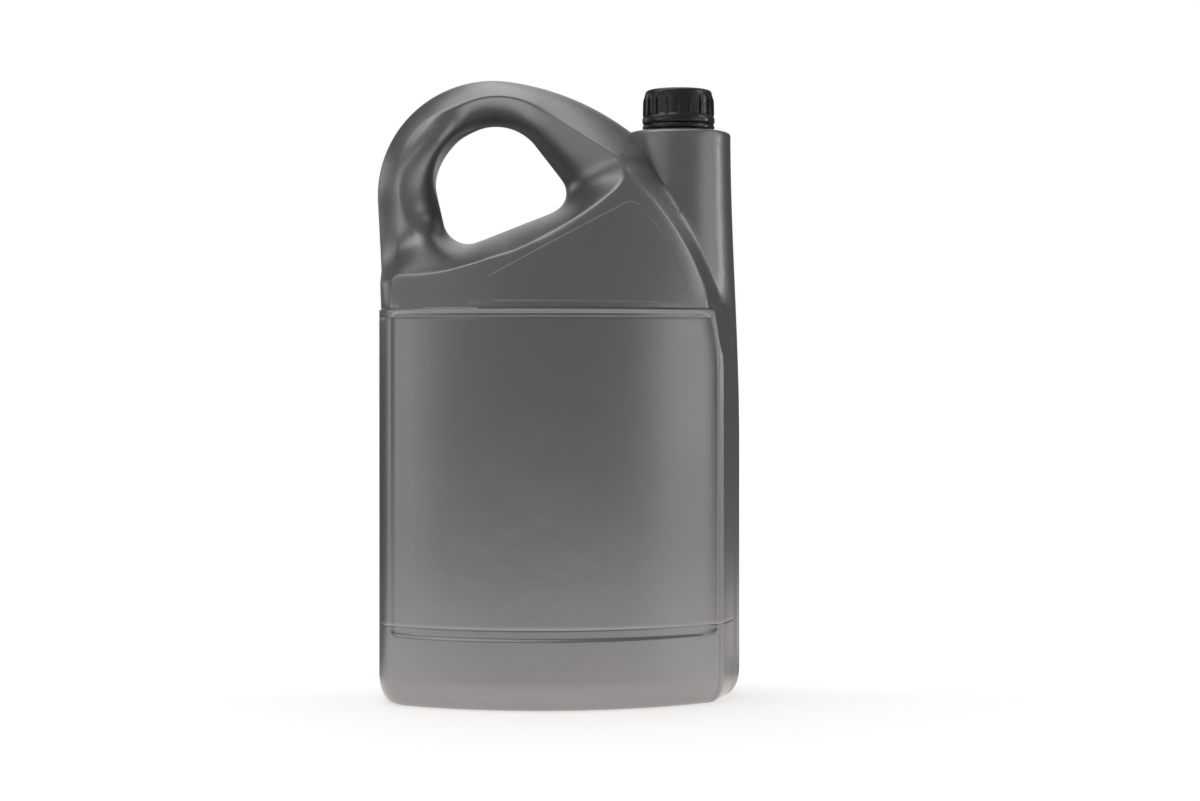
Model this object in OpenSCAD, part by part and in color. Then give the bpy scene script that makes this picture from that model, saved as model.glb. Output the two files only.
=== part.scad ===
// Five litre oil jug: blown skin with an integral handle, screw cap, tamper ring and sealing wad.
// X runs from the handle to the neck, Y from front to back, Z up, with the origin under the jug's middle.

/* [Jug] */
// Overall width, from the handle to the nose
jug_w = 188; // [178:1:200]
// Overall height, to the top of the handle
jug_h = 318; // [312:1:330]
// Overall depth, at the fullest point of the belly
jug_d = 132; // [122:1:150]
// Wall of the blown skin
wall = 1.6; // [1.2:0.1:2.2]

/* [Body] */
// Height of the part above the label field, from the ledge to the top of the handle
upper_h = 120; // [116:1:126]
// Height of the step under the label field
step_z = 36; // [28:1:48]
// How far the label field lies below the skin round it
label_in = 1.3; // [0.8:0.1:1.6]
// Radius of the bulge of the front and the back, in plan
belly_r = 151; // [142:1:180]
// Place of the fullest point of the bulge along X
belly_x = -8; // [-12:1:-4]
// Distance of the crest on the neck side of the front from the nose
crest_in = 12.2; // [11:0.2:14]
// How much tighter the crest's sweep up to the handle recess is than the outer sweep
crest_gap = 1.5; // [0.5:0.1:3]
// How far below the ledge that sweep starts
crest_low = 32.4; // [28:0.2:38]
// Lean of the panel above the ledge, in degrees
panel_lean = 15; // [11:0.5:17]
// Inset of the body's handle side from the handle's own side
side_in = 2; // [1:0.2:4]
// Crown of the body's handle side
side_crown = 4; // [2:0.5:6]
// Radius of the upright corner on the handle side
corner_r = 9; // [6:0.5:14]
// Radius of the crest's edge
crest_edge_r = 3; // [2:0.5:5]
// Height of the rounded heel
heel_h = 14; // [10:1:20]
// Inset of the heel at the floor
heel_in = 7; // [4:0.5:9]
// Rise of the hollow in the base
push_up = 4; // [2:0.5:6]
// Width of the rim that the jug stands on
rim_w = 9; // [6:0.5:14]

/* [Handle] */
// Radius of the handle's outer arc
arch_r = 60; // [56:0.5:63]
// How far inside the nose the outer sweep from the handle down to the nose ends
sweep_in = 3.7; // [3:0.1:5]
// Where that sweep leaves the handle's arc, in degrees
sweep_dir = 82.5; // [80:0.5:85]
// Half depth of the handle at its crest
grip_t = 18; // [14:0.5:22]
// Radius of the hand hole's main arc
hole_r = 26; // [23:0.5:28]
// Radius of the hand hole's corner on the neck side
hole_neck_r = 11; // [8:0.5:14]
// Radius of the hand hole's lower corner
hole_low_r = 13.5; // [9:0.5:15]
// Radius of the recess round the hand hole
recess_r = 39.5; // [38:0.5:41]
// Radius of the recess's lower corner
recess_low_r = 33.7; // [31:0.1:36]
// Radius of the recess on its neck side
recess_neck_r = 28.5; // [26:0.5:30]
// Radius of the recess's tip
tip_r = 9; // [7:0.5:10]
// Where the tip lies on the crest's sweep, in degrees
tip_dir = 53.4; // [52:0.2:55]
// Height of the recess's sill above the ledge, at the foot of the handle
sill_h = 17.8; // [14:0.2:22]
// Rise of the sill towards the neck, for each square millimetre
sill_rise = 0.0039; // [0.0036:0.0001:0.0042]
// Height of the ramp from the sill up to the handle
foot_h = 30; // [24:1:34]

/* [Neck column] */
// Radius of the nose, which is the column's radius low down
nose_r = 31.6; // [30:0.2:34]
// How far the shoulder round the neck lies below the top of the handle
shoulder_low = 26.8; // [22:0.2:32]
// Radius of the column at its shoulder
column_r = 27; // [25:0.5:28]
// Round of the shoulder's edge, in plan and in height
shoulder_r = 5; // [3:0.5:7]
shoulder_drop = 2.4; // [1.5:0.1:4]

/* [Neck finish] */
// Radius of the neck's bore
bore_r = 13; // [11:0.25:13.5]
// Wall of the neck
neck_wall = 2.2; // [1.8:0.1:2.6]
// Height of the neck above the shoulder
neck_h = 18.8; // [17:0.1:22]
// How far the bead over the tamper ring stands out
bead_out = 1.2; // [0.8:0.1:1.5]
// Height of that bead
bead_h = 1.5; // [1.2:0.1:2]

/* [Cap] */
// Depth of the cap's thread, which lies in the gap between the neck and the cap
thread_h = 1.7; // [1.6:0.1:2.2]
// Wall of the cap's skirt
skirt_wall = 1.2; // [1:0.1:1.8]
// Thickness of the cap's top
cap_top = 1.8; // [1.4:0.1:2.4]
// Thickness of the sealing wad
liner_h = 1.2; // [0.8:0.1:1.6]
// Clearance round the sealing wad
liner_gap = 0.3; // [0.2:0.05:0.5]
// Height of the smooth band at the cap's foot
cap_band_h = 4.4; // [3:0.1:6]
// How far that band stands out
cap_band_out = 0.7; // [0.4:0.1:1]
// Number of grip ribs
rib_count = 18; // [12:1:24]
// Width of a grip rib
rib_w = 1.1; // [0.8:0.1:1.8]
// How far a grip rib stands out
rib_out = 0.6; // [0.3:0.1:1]
// Draft of the cap's edge at the top
cap_round = 1.6; // [1:0.1:2]

/* [Tamper ring] */
// Height of the ring
ring_h = 2.4; // [2:0.1:3]
// Gap under the ring, over the shoulder
ring_gap = 1; // [0.6:0.1:1.4]
// Gap between the ring and the cap
break_gap = 0.4; // [0.3:0.05:0.6]
// Number of the ring's break nubs
nub_count = 12; // [8:1:16]
// Width of a break nub
nub_w = 0.9; // [0.6:0.1:1.4]
// Running clearance of the ring on the neck and under its bead
ring_clear = 0.3; // [0.2:0.05:0.5]

/* [Hidden] */
$fn = 96;
far = 1000;

// Heights that hang from the top of the handle, and places that keep to the nose
ledge_z = jug_h - upper_h;
crest_z = ledge_z - crest_low;
shoulder_z = jug_h - shoulder_low;
neck_x = jug_w / 2 - nose_r;
crest_x = jug_w / 2 - crest_in;
// Centres of the handle's arc, of the outer sweep and of the crest's sweep, as [x, z]
arch_c = [-jug_w / 2 + arch_r, jug_h - arch_r];
sweep_r = (jug_w / 2 - sweep_in - arch_c[0] - arch_r * cos(sweep_dir)) / (1 - cos(sweep_dir));
sweep_c = arch_c - (sweep_r - arch_r) * dir(sweep_dir);
crest_r = sweep_r - crest_gap;
crest_c = [crest_x - crest_r, crest_z];
// Middle of the hand hole, from which the handle's rings are measured
hub = arch_c + [2, 2];
// Lean of the handle side below the arch, as the direction that it faces
side_dir = 183;
// Crest of the handle side, and the lowest edge of the upper part inside the body
side_crest = 11.5;
side_crest_x = -jug_w / 2 + side_crest;
upper_sink = 5;
upper_z = ledge_z - upper_sink;
crest_rise = 3;
neck_r = bore_r + neck_wall;
neck_top = shoulder_z + neck_h;
ring_z = shoulder_z + ring_gap;
cap_z = ring_z + ring_h + break_gap;
cap_bore_r = neck_r + thread_h;
cap_r = cap_bore_r + skirt_wall;
cap_top_z = neck_top + liner_h + cap_top;
ring_lip_h = 0.9;
bead_z = ring_z + ring_lip_h + ring_clear;

function dir(a) = [cos(a), sin(a)];
function lerp(a, b, u) = a + (b - a) * u;
function clamp(u) = min(1, max(0, u));
function smooth(u) = let (v = clamp(u)) v * v * (3 - 2 * v);
// Quarter of a superellipse: how far in from the edge and how far out of the parting plane
function quarter(a, n) = [1 - pow(cos(a), 2 / n), pow(sin(a), 2 / n)];

// Falls from one to nothing over u: as a superellipse, or as a facet that rounds off at its outer edge
function round_fall(u, n) = pow(1 - pow(clamp(u), n), 1 / n);
function edge_fall(u, n) = pow(1 - clamp(u), 1 / n);

// Half depth of the jug over its width, and of the leaning panel, which dives behind the ledge below it
panel_dive = 1.2;
function belly_t(x) = jug_d / 2 - belly_r + sqrt(pow(belly_r, 2) - pow(x - belly_x, 2));
function panel_t(x, z) =
    belly_t(x) - (z > ledge_z ? (z - ledge_z) * tan(panel_lean) : (ledge_z - z) * panel_dive);

// Distance from the hub along direction a to a circle, to a line and to the hull of some circles
function ray_circle(c, r, a) =
    let (d = c - hub, p = d * dir(a))
    p + sqrt(r * r - d * d + p * p);
function ray_line(facing, reach, a) =
    let (k = dir(facing) * dir(a))
    k > 0.02 ? (reach - dir(facing) * hub) / k : far;
function ray_hull(circles, a) =
    min([for (b = [-84 : 3 : 84])
        max([for (k = circles) (k[0] - hub) * dir(a + b) + k[1]]) / cos(b)]);

// Outlines of the hand hole and of its recess, each the hull of some circles
function hole_circles(w) = [
    [arch_c + [-4, 7.5], hole_r + w],
    [arch_c + [5, 10], hole_r + w],
    [arch_c + [27, 1.5], hole_neck_r + w],
    [arch_c + [-12.5, -11.5], hole_low_r + w],
];
function recess_circles(w) = [
    [arch_c + [-6, 6], recess_r + w],
    [arch_c + [3, 10.5], recess_r + w],
    [tip_c, tip_r + w],
    [arch_c + [-11.5, -2.8], recess_low_r + w],
    [arch_c + [32, 4], recess_neck_r + w],
];
// The tip of the recess reaches a little past the crest's sweep
tip_over = 4;
tip_c = crest_c + (crest_r - tip_r + tip_over) * dir(tip_dir);
tip = tip_c + [tip_r, 0];
tip_a = atan2(tip[1] - hub[1], tip[0] - hub[0]);

// The sill under the recess: level at the handle's foot, then rising as a parabola
sill_low = ledge_z + sill_h;
sill_x = arch_c[0] - 41;
sill_from = 200;
function sill_z(x) = sill_low + sill_rise * pow(max(0, x - sill_x), 2);
function ray_sill(a, w) =
    let (
        run = hub[0] - sill_x,
        fall = hub[1] - sill_low - sill_rise * run * run + w,
        b = 2 * sill_rise * run * cos(a) - sin(a))
    a < sill_from ? far : 2 * fall / (b + sqrt(b * b + 4 * sill_rise * pow(cos(a), 2) * fall));

// Outer edge of the upper part, at the parting plane. Inside the column it bulges past the sweep.
column_bulge = 6;
bulge_span = 26;
function turned(a) = a > 270 ? a - 360 : a;
function bulge(a) = column_bulge * pow(1 - pow(min(1, abs(turned(a)) / bulge_span), 2), 2);
function edge_r(a, w) = min(
    ray_circle(sweep_c, sweep_r - w, a) + bulge(a),
    a > sweep_dir && a < side_dir ? ray_circle(arch_c, arch_r - w, a) : far,
    ray_line(side_dir, dir(side_dir) * arch_c + arch_r - w, a),
    ray_line(270, -upper_z - w, a));
// Crest of the upper part, where its band meets the panel. Round the grip it is the recess's own edge.
side_from = 150;
function crest_ring_r(a, w) =
    a > tip_a && a < side_from ? 0 :
    min(
        ray_circle(crest_c, crest_r - w, a),
        ray_line(270, -upper_z - crest_rise - w, a),
        ray_line(180, -side_crest_x - w, a) * smooth((a - side_from) / (180 - side_from)));

// Half depth of the shoulder under the handle, and how much of it is left on the ramp above the sill
side_w = 11;
side_more = 20;
foot_n = 1.6;
block_n = 2.6;
ramp_n = 1.7;
sill_lift = 1.2;
sill_drop = 6;
function sill_line(x, w) =
    sill_z(x) + sill_lift * smooth((x - arch_c[0] + 8) / 12) -
    sill_drop * smooth((arch_c[0] - 46 - x) / 6) - w;
function ramp_at(x, z, w) = clamp((z - sill_line(x, w)) / foot_h);
function block_t(x, z, w) =
    let (
        ramp = ramp_at(x, z, w),
        side = -jug_w / 2 + (arch_c[1] - z) * tan(side_dir - 180) + w)
    panel_t(x, min(z, sill_line(x, w))) *
    round_fall(1 - (x - side) / (side_w + side_more * ramp), lerp(block_n, ramp_n, ramp)) *
    round_fall(1 - (z - upper_z - w) / crest_rise, block_n);

// Half depth along direction a from the hub: band and shoulder round the grip, panel and band at the nose
grip_a = 95;
nose_from = 300;
band_n = 1.5;
function grip_at(a) =
    a > grip_a ? grip_t :
    lerp(grip_t, panel_t(tip[0], tip[1]), pow(1 - clamp((a - tip_a) / (grip_a - tip_a)), 2));
function station_t(a, r, recess, crest, edge, w) =
    let (
        p = hub + r * dir(a),
        k = hub + crest * dir(a),
        band = grip_at(a) * edge_fall((r - recess) / (edge - recess), band_n))
    a <= 180 ? band :
    a <= nose_from ? band + max(0, block_t(p[0], p[1], w) - band) * pow(1 - ramp_at(p[0], p[1], w), foot_n) :
    r < crest ? panel_t(p[0], p[1]) :
    panel_t(k[0], k[1]) * edge_fall((r - crest) / (edge - crest), band_n);

// One station of the upper part's front: band, panel, ramp and flank, from the outer edge to the hand hole.
// The flank is an arc that has turned so many degrees where it meets the recess's edge.
band_steps = 4;
ramp_steps = 2;
flank_steps = 4;
flank_turn = [[40, 34], [90, 46], [120, 72], [145, 106], [185, 106], [215, 80], [245, 50], [270, 34]];
least_flank = 4;
least_band = 1;
least_crest = 0.6;
least_run = 0.2;
// How far the inside lies below the outside at each direction, in walls: more behind a sloping band
inner_fall = [[0, 2.6], [180, 2.6], [230, 1.7], [280, 1.4], [310, 1.6], [340, 2.6]];
function upper_station(a, w) =
    let (
        hole = ray_hull(hole_circles(w), a),
        recess = max(hole + least_flank, min(ray_hull(recess_circles(w), a), ray_sill(a, w))),
        crest = max(recess + least_crest, crest_ring_r(a, w)),
        edge = max(crest + least_band, edge_r(a, w)),
        sill = min(crest - least_run, max(recess + least_run, a > 280 ? recess : ray_sill(a, w))),
        at = function (r) hub + r * dir(a),
        ledge = min(crest - least_run, max(sill + least_run, ray_line(270, -ledge_z, a))),
        fall = lookup(a, inner_fall) * w,
        depth = function (r) station_t(a, r, recess, crest, edge, w) - fall,
        turn = lookup(a, flank_turn),
        band = [for (i = [1 : band_steps - 1])
            let (r = lerp(edge, crest, 1 - cos(90 * i / band_steps)))
            [r, depth(r)]],
        panel = [for (r = [crest, ledge, lerp(ledge, sill, 0.5)]) [r, depth(r)]],
        ramp = [for (i = [0 : ramp_steps]) let (r = lerp(sill, recess, i / ramp_steps)) [r, depth(r)]],
        flank = [for (i = [flank_steps - 1 : -1 : 0])
            let (b = turn * i / flank_steps)
            [lerp(hole, recess, (1 - cos(b)) / (1 - cos(turn))), depth(recess) * sin(b) / sin(turn)]],
        front = concat([[edge, 0]], band, panel, ramp, flank),
        last = len(front) - 1)
    concat(
        [for (p = front) [at(p[0])[0], -p[1], at(p[0])[1]]],
        [for (i = [last - 1 : -1 : 1]) [at(front[i][0])[0], front[i][1], at(front[i][0])[1]]]);

// Closed loops of points skinned side by side: round into a ring, or stacked with a cap at each end
module ring_skin(loops) {
    n = len(loops);
    m = len(loops[0]);
    polyhedron(
        [for (loop = loops) each loop],
        [for (i = [0 : n - 1], j = [0 : m - 1])
            let (k = (i + 1) % n, l = (j + 1) % m)
            [i * m + j, i * m + l, k * m + l, k * m + j]]);
}
module stack_skin(loops) {
    n = len(loops);
    m = len(loops[0]);
    polyhedron(
        [for (loop = loops) each loop],
        concat(
            [[for (j = [m - 1 : -1 : 0]) j]],
            [for (i = [0 : n - 2], j = [0 : m - 1])
                let (l = (j + 1) % m)
                [i * m + j, i * m + l, (i + 1) * m + l, (i + 1) * m + j]],
            [[for (j = [0 : m - 1]) (n - 1) * m + j]]));
}

// The jug above its ledge: handle, recess and upper panel, inset by w.
// Its stations fall on the recess's tip and on the lower ends of both crests and both outer edges.
function bearing(x, z) = atan2(z - hub[1], x - hub[0]) + 360;
function station_angles(step, w) =
    let (
        crest_end = upper_z + crest_rise + w,
        edge_end = upper_z + w,
        side_edge = arch_c[0] - arch_r - (arch_c[1] - edge_end) * tan(180 - side_dir),
        nose_edge = sweep_c[0] + sqrt(pow(sweep_r, 2) - pow(max(0, edge_end - sweep_c[1]), 2)),
        stops = [
            tip_a,
            bearing(side_edge + w, edge_end),
            bearing(side_crest_x + w, crest_end),
            bearing(crest_at(crest_end) - w, crest_end),
            bearing(nose_edge - w, edge_end),
            tip_a + 360])
    [for (k = [0 : len(stops) - 2])
        let (n = max(1, round((stops[k + 1] - stops[k]) / step)))
        for (i = [0 : n - 1]) lerp(stops[k], stops[k + 1], i / n)];
module upper_part(w, step) {
    ring_skin([for (a = station_angles(step, w)) upper_station(a, w)]);
}

// Plan of the body at height z, inset by w, with the label field sunk by so much between its borders
function crest_at(z) = crest_c[0] + sqrt(pow(crest_r, 2) - pow(max(0, z - crest_z), 2));
function corner(a, p, b, r, n) =
    let (u = p + r * (a - p) / norm(a - p), v = p + r * (b - p) / norm(b - p))
    [for (i = [0 : n]) let (s = i / n) lerp(lerp(u, p, s), lerp(p, v, s), s)];
front_steps = 8;
flank_points = 4;
body_n = 1.25;
nose_in = 0.8;
border = 2.5;
function body_plan(z, w, sunk) =
    let (
        side = -jug_w / 2 + side_in + w,
        at = function (x) [x, belly_t(x) - w],
        xk = crest_at(z) - w,
        xs = side + side_crown,
        crown = function (u) [side + side_crown * u * u, at(xs)[1] * u],
        nose = neck_x + column_at(z) - nose_in - w,
        crest_p = at(xk),
        flank = [for (i = [0 : flank_points - 1])
            let (q = quarter(90 * i / flank_points, body_n))
            [lerp(nose, xk, q[0]), crest_p[1] * q[1]]],
        xa = xs + corner_r + border,
        xb = xk - crest_edge_r - border,
        half = concat(
            flank,
            corner(flank[flank_points - 1], crest_p, at(xb), crest_edge_r, 3),
            [for (i = [0 : front_steps]) at(lerp(xb, xa, i / front_steps)) - [0, sunk]],
            corner(at(xa), at(xs), crown(0.7), corner_r, 4),
            [crown(0.5), crown(0.25), [side, 0]]),
        last = len(half) - 1)
    concat(
        [for (p = half) [p[0], -p[1], z]],
        [for (i = [last - 1 : -1 : 1]) [half[i][0], half[i][1], z]]);

// The jug below its ledge: heel, base band, step, label field and ledge, inset by w
function heel_inset(z) = heel_in * (1 - sqrt(1 - pow(1 - clamp(z / heel_h), 2)));
step_h = 2.8;
ledge_h = 1.6;
lid_h = 1.2;
lid_in = 1.8;
heel_steps = 5;
label_steps = 4;
sliver = 0.01;
module lower_part(w) {
    stack_skin(concat(
        [for (i = [0 : heel_steps - 1])
            let (z = max(w, heel_h * i / heel_steps))
            body_plan(z + i * sliver, w + heel_inset(z), 0)],
        [body_plan(heel_h + 1, w, 0)],
        [body_plan(step_z - step_h / 2, w, 0)],
        [body_plan(step_z + step_h / 2, w, label_in)],
        [for (i = [1 : label_steps]) body_plan(lerp(step_z, crest_z, i / label_steps), w, label_in)],
        [body_plan(lerp(crest_z, ledge_z, 0.5), w, label_in)],
        [body_plan(ledge_z - ledge_h, w, label_in)],
        [body_plan(ledge_z, w, 0)],
        [body_plan(ledge_z + lid_h, w + lid_in, 0)]));
}

// The column under the neck, whose nose closes the jug's width
column_from = ledge_z - 68;
function column_at(z) = lerp(nose_r, column_r, smooth((z - column_from) / (shoulder_z - column_from)));
module column(w, sides) {
    stack_skin([for (s = concat(
        [for (i = [0 : 3])
            let (z = max(w, heel_h * i / 4))
            [z + i * sliver, column_at(z) - w - heel_inset(z)]],
        [for (i = [0 : 8])
            let (z = lerp(heel_h, shoulder_z - shoulder_drop - w, i / 8))
            [z, column_at(z) - w]],
        [for (a = [30, 60, 90]) [
            shoulder_z - w - shoulder_drop * (1 - sin(a)),
            column_at(shoulder_z) - w - (shoulder_r - w) * (1 - cos(a))]]))
        [for (i = [0 : sides - 1]) let (p = s[1] * dir(-360 * i / sides)) [neck_x + p[0], p[1], s[0]]]]);
}

// The hollow in the base, inside the rim that the jug stands on
module base_hollow(w) {
    inset = heel_in + rim_w - w;
    stack_skin([
        body_plan(-1, inset, 0),
        body_plan(w, inset, 0),
        body_plan(push_up + w, inset + 2 * push_up, 0)]);
}

// Outside and inside of the blown skin, without the neck, with a pilot hole for the bore
pilot = 1;
station_step = 5;
inner_step = 7.5;
module skin() {
    resize([0, 0, 0]) difference() {
        union() {
            lower_part(0);
            upper_part(0, station_step);
            column(0, 48);
        }
        base_hollow(0);
        difference() {
            union() {
                lower_part(wall);
                upper_part(wall, inner_step);
                column(wall, 24);
            }
            base_hollow(wall);
        }
        translate([neck_x, 0, shoulder_z - 2 * wall])
            cylinder(r = bore_r - pilot, h = 3 * wall, $fn = 24);
    }
}

// The neck finish: bead, plain land for the thread, and chamfered lip
lip = 0.6;
overlap = 0.5;
module neck() {
    foot = shoulder_z - wall / 2;
    translate([neck_x, 0, 0])
        rotate_extrude()
            polygon([
                [bore_r - overlap, foot],
                [neck_r, foot],
                [neck_r, bead_z],
                [neck_r + bead_out, bead_z],
                [neck_r + bead_out, bead_z + bead_h / 2],
                [neck_r, bead_z + bead_h],
                [neck_r, neck_top - lip],
                [neck_r - lip, neck_top],
                [bore_r - overlap, neck_top]]);
}

module jug_body() {
    color("#7d7e80")
        difference() {
            union() {
                skin();
                neck();
            }
            translate([neck_x, 0, shoulder_z - 3 * wall])
                cylinder(r = bore_r, h = neck_h + 6 * wall);
        }
}

module screw_cap() {
    color("#151516")
        translate([neck_x, 0, 0]) {
            rotate_extrude()
                polygon([
                    [cap_bore_r, cap_z],
                    [cap_r + cap_band_out, cap_z],
                    [cap_r + cap_band_out, cap_z + cap_band_h - cap_band_out],
                    [cap_r, cap_z + cap_band_h],
                    [cap_r, cap_top_z - cap_round],
                    [cap_r - cap_round, cap_top_z],
                    [0, cap_top_z],
                    [0, cap_top_z - cap_top],
                    [cap_bore_r, cap_top_z - cap_top]]);
            for (i = [0 : rib_count - 1])
                rotate(360 * i / rib_count)
                    translate([cap_r - skirt_wall / 2, -rib_w / 2, cap_z + cap_band_h / 2])
                        cube([
                            skirt_wall / 2 + rib_out,
                            rib_w,
                            cap_top_z - cap_round - cap_z - cap_band_h / 2]);
        }
}

// The tamper ring lies a little inside the cap's band, and its nubs stop just short of the cap
ring_in = 0.2;
nub_in = 1;
nub_t = 0.8;
nub_root = 0.5;
nub_gap = 0.1;
module tamper_ring() {
    ring_r = cap_r + cap_band_out - ring_in;
    color("#151516")
        translate([neck_x, 0, 0]) {
            rotate_extrude()
                polygon([
                    [neck_r + ring_clear, ring_z],
                    [ring_r, ring_z],
                    [ring_r, ring_z + ring_h],
                    [neck_r + bead_out + ring_clear, ring_z + ring_h],
                    [neck_r + bead_out + ring_clear, ring_z + ring_lip_h],
                    [neck_r + ring_clear, ring_z + ring_lip_h]]);
            for (i = [0 : nub_count - 1])
                rotate(360 * (i + 0.5) / nub_count)
                    translate([ring_r - nub_in, -nub_w / 2, ring_z + ring_h - nub_root])
                        cube([nub_t, nub_w, nub_root + break_gap - nub_gap]);
        }
}

module cap_liner() {
    color("#e8e6df")
        translate([neck_x, 0, neck_top])
            cylinder(r = cap_bore_r - liner_gap, h = liner_h);
}

jug_body();
screw_cap();
tamper_ring();
cap_liner();
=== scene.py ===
"""Five litre oil jug in a white studio: moulded grey skin, ribbed black cap, tamper ring and sealing wad."""
import math

import bmesh
import bpy
import numpy as np
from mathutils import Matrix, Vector


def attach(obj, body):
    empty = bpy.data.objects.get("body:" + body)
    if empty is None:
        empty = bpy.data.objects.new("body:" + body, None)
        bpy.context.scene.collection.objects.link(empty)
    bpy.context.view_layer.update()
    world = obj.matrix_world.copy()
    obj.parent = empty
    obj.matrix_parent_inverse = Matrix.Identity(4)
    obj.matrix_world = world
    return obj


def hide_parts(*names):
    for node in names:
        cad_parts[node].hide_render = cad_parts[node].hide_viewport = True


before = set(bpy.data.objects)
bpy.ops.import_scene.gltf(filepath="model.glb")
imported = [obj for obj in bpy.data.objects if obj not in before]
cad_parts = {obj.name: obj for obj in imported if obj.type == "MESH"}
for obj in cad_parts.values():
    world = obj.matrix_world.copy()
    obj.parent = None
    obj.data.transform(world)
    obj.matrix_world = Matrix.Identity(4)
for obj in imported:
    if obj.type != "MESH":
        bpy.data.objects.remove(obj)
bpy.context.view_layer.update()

MM = 0.001

# Camera, with pixel values in the photo's own size

PHOTO_W, PHOTO_H = 1200, 801
HORIZON_ROW = 350
FOCAL_PX = 2181
SENSOR_W = 36
CAMERA_PLACE = (0.0216, -1.134, 0.178)

camera_data = bpy.data.cameras.new("photo_camera")
camera_data.sensor_fit = "HORIZONTAL"
camera_data.sensor_width = SENSOR_W
camera_data.lens = FOCAL_PX / PHOTO_W * SENSOR_W
camera_data.shift_y = (HORIZON_ROW - PHOTO_H / 2) / PHOTO_W
camera_data.clip_end = 50
camera = bpy.data.objects.new("photo_camera", camera_data)
camera.location = CAMERA_PLACE
camera.rotation_euler = (math.radians(90), 0, 0)
bpy.context.scene.collection.objects.link(camera)
bpy.context.scene.camera = camera

# Sizes of the jug, in millimetres, and directions, in degrees

jug_w = 188  # from the handle to the nose
jug_h = 318  # to the top of the handle
jug_d = 132  # at the fullest point of the belly
wall = 1.6  # of the blown skin
ledge_z = 198  # upper end of the label field
step_z = 36  # lower end of the label field
label_in = 1.3  # how far the label field lies below the skin round it
label_left = -83.5  # its border on the handle side
label_t = 20  # half depth that it lies outside of
label_round = 6.0  # its corners
label_chamfer = 2.7  # its sloping border
belly_r = 151  # bulge of the front and the back, in plan
belly_x = -8  # fullest point of the bulge
crest_x = 81.8  # crest on the neck side of the front
crest_r = 132.5  # sweep of the crest up to the recess
crest_z = 165.6  # where that sweep starts
panel_lean = 15  # lean of the panel above the ledge
panel_sunk = 1.4  # how far the panel lies behind the belly at the ledge
panel_dive = 0.8  # how fast it falls back inside the body below the ledge
side_in = 2  # inset of the body's handle side
side_crown = 4  # crown of that side
corner_r = 9  # upright corner on the handle side
crest_edge_r = 3  # edge of the crest
heel_h = 14  # rounded heel
heel_in = 7  # its inset at the floor
push_up = 4  # rise of the hollow in the base
rim_w = 9  # rim that the jug stands on
arch_r = 60  # outer arc of the handle
sweep_r = 134  # sweep from the handle down to the nose
sweep_dir = 82.5  # where that sweep leaves the arc
nose_bulge = 6  # how far the band swells into the nose
nose_bulge_a = 26  # to how far above and below the level that swelling reaches
grip_t = 18  # half depth of the handle
hole_r = 26  # main arc of the hand hole
hole_neck_r = 11  # its corner on the neck side
hole_low_r = 13.5  # its lower corner
recess_r = 39.5  # main arc of the recess round the hand hole
recess_low_r = 33.7  # its lower corner
recess_neck_r = 28.5  # its neck side
tip_r = 9  # tip of the recess
tip_dir = 53.4  # where the tip lies on the crest's sweep
tip_over = 4  # how far it reaches past that sweep
groove_deep = 0.5  # crease line round the recess, on the grip
groove_w = 0.55
flank_least = 4  # least widths of the runs of a section
panel_least = 0.6
band_least = 1
cove_least = 0.2
wall_depth = 1.25  # how deep the wall is from front to back where the skin leans, for each millimetre
sill_low = 215.8  # sill of the recess, at the foot of the handle
sill_x = -75  # where the sill starts to rise
sill_rise = 0.0039  # its rise, for each square millimetre
sill_lift = 1.2  # how far above the sill the ramp starts along the panel
sill_dip = 3  # how far below it by the upright corner
foot_h = 30  # ramp from the sill up to the handle
foot_n = 1.6  # how hollow the ramp is
side_w = 9.5  # round of the upright corner beside the ramp
side_more = 22  # how much wider that round gets up the ramp
block_n = 2.4  # how square that round is below the ramp
ramp_side_n = 1.4  # and up the ramp
neck_x = 62.4  # axis of the neck
taper_z = 130  # where the column starts to taper
shoulder_z = 291.2  # top of the column
column_r = 27  # the column at its shoulder
shoulder_r = 5  # round of the shoulder's edge, in plan
shoulder_drop = 2.4  # and in height
bore_r = 13  # bore of the neck
neck_wall = 2.2
neck_h = 18.8
bead_out = 1.2  # bead over the tamper ring
bead_h = 1.5
thread_h = 1.7  # gap between the neck and the cap, where the thread lies
thread_pitch = 4
thread_turns = 1.75
neck_thread_r = 16.45  # crest of the neck's thread
neck_thread_z = 298.6  # where it starts
cap_thread_r = 15.65  # crest of the cap's thread
cap_thread_z = 300.6
skirt_wall = 1.2  # skirt of the cap
cap_top = 1.8  # thickness of the cap's top
liner_h = 1.2  # sealing wad
cap_band_out = 0.7  # how far the band at the cap's foot stands out
rib_count = 18  # grip ribs
rib_root = 16.95  # radius at which they start, inside the skirt
ring_h = 2.4  # tamper ring
ring_gap = 1  # gap under it
break_gap = 0.4  # gap between ring and cap
nub_count = 12  # break nubs in that gap
nub_w = 0.9
ring_clear = 0.3  # clearance of the ring on the neck
ring_lip_h = 0.9  # lip of the ring under the bead
seam_z = (40.2, 194.4)  # mould lines round the body

nose_r = jug_w / 2 - neck_x
neck_r = bore_r + neck_wall
neck_top = shoulder_z + neck_h
ring_z = shoulder_z + ring_gap
cap_z = ring_z + ring_h + break_gap
cap_bore_r = neck_r + thread_h
cap_r = cap_bore_r + skirt_wall
cap_top_z = neck_top + liner_h + cap_top
bead_z = ring_z + ring_lip_h + ring_clear
ring_r = cap_r + cap_band_out - 0.2
upper_z = ledge_z - 5  # lower end of the upper shape, inside the body
crest_rise = 3  # its rounded end
low_end_n = 2.6  # how square that end is
side_dir = 183  # way that the handle's outer side faces
side_crest_x = -jug_w / 2 + 11.5
upright_a = 150  # from here on the band ends at the upright corner
grip_a = 95  # from here on the grip has its full depth
nose_a = 300  # from here on a section runs through the panel
flank_n = 1.25  # how full the body's flank is
nose_cover = 0.8  # how far that flank stays inside the column

# Counts and steps of the meshes

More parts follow.
